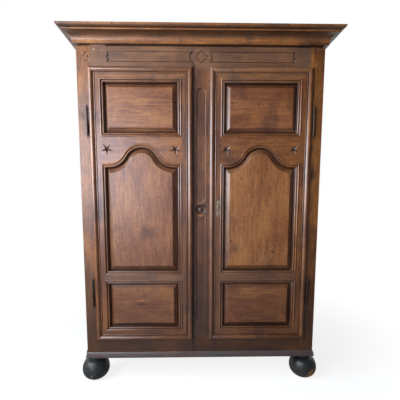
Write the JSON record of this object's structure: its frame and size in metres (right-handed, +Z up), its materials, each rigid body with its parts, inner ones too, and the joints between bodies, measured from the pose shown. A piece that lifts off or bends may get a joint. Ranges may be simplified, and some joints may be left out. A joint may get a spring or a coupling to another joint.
{
  "type": "panelled cupboard",
  "caption": "Panelled wooden cupboard with flaring cornice, raised-panel doors with arched middle panels, fluted fixed centre stile, ball feet, pin hinges, shelves and a lock with key.",
  "frame": {"origin": "on the floor, under the middle of the whole cupboard's box", "axes": "+Z up, +Y towards the back, +X to the right for someone who faces the doors"},
  "size_m": [1.478, 0.634, 2],
  "materials": {
    "case_wood": "old wax polish",
    "door_wood": "old wax polish",
    "panel_wood": "old wax polish",
    "moulding_wood": "old wax polish",
    "inner_wood": "bare, dusty",
    "dark_wood": "black polish, worn",
    "hinge_iron": "aged iron",
    "lock_iron": "aged iron",
    "escutcheon_metal": "rubbed iron"
  },
  "bodies": {
    "carcass": {"left_front_post": "case_wood", "right_front_post": "case_wood", "left_rear_post": "case_wood", "right_rear_post": "case_wood", "frieze_rail": "case_wood", "front_bottom_rail": "case_wood", "centre_stile": "case_wood", "left_side_rails": "case_wood", "right_side_rails": "case_wood", "frame_pegs": "case_wood", "left_side_panels": "panel_wood", "right_side_panels": "panel_wood", "back_rails": "inner_wood", "back_boards": "inner_wood", "floor_boards": "inner_wood", "lower_shelf": "inner_wood", "upper_shelf": "inner_wood", "shelf_bearers": "inner_wood", "top_boards": "inner_wood", "cornice_front": "moulding_wood", "cornice_left": "moulding_wood", "cornice_right": "moulding_wood", "base_moulding_front": "moulding_wood", "base_moulding_left": "moulding_wood", "base_moulding_right": "moulding_wood", "left_foot": "dark_wood", "right_foot": "dark_wood", "left_post_fiches": "hinge_iron", "right_post_fiches": "hinge_iron"},
    "left_door": {"left_door_hinge_stile": "door_wood", "left_door_meeting_stile": "door_wood", "left_door_top_rail": "door_wood", "left_door_arched_rail": "door_wood", "left_door_lower_rail": "door_wood", "left_door_bottom_rail": "door_wood", "left_door_upper_panel": "panel_wood", "left_door_arched_panel": "panel_wood", "left_door_lower_panel": "panel_wood", "left_door_fiches": "hinge_iron", "bolt_staples": "lock_iron"},
    "right_door": {"right_door_hinge_stile": "door_wood", "right_door_meeting_stile": "door_wood", "right_door_top_rail": "door_wood", "right_door_arched_rail": "door_wood", "right_door_lower_rail": "door_wood", "right_door_bottom_rail": "door_wood", "right_door_upper_panel": "panel_wood", "right_door_arched_panel": "panel_wood", "right_door_lower_panel": "panel_wood", "right_door_fiches": "hinge_iron", "lock_case": "lock_iron", "escutcheon": "escutcheon_metal"},
    "key": {"key": "lock_iron"},
    "lock_bolt": {"lock_bolt": "lock_iron"},
    "door_bolt": {"door_bolt": "lock_iron"}
  },
  "joints": [
    {"name": "left_door_hinge", "type": "hinge", "parent": "carcass", "child": "left_door", "pos_m": [-0.616, -0.2515, 1.055], "axis": [0, 0, -1], "range_deg": [0, 170]},
    {"name": "right_door_hinge", "type": "hinge", "parent": "carcass", "child": "right_door", "pos_m": [0.616, -0.2515, 1.055], "axis": [0, 0, 1], "range_deg": [0, 170]},
    {"name": "key_turn", "type": "hinge", "parent": "right_door", "child": "key", "pos_m": [0.0955, -0.255, 1.071], "axis": [0, 1, 0], "range_deg": [0, 90]},
    {"name": "lock_bolt_slide", "type": "slide", "parent": "right_door", "child": "lock_bolt", "axis": [-1, 0, 0], "range_m": [0, 0.014]},
    {"name": "door_bolt_slide", "type": "slide", "parent": "left_door", "child": "door_bolt", "axis": [1, 0, 0], "range_m": [0, 0.022]}
  ],
  "couplings": [
    {"joint": "key_turn", "follows": "lock_bolt_slide", "rad_per_m": 112.19}
  ]
}
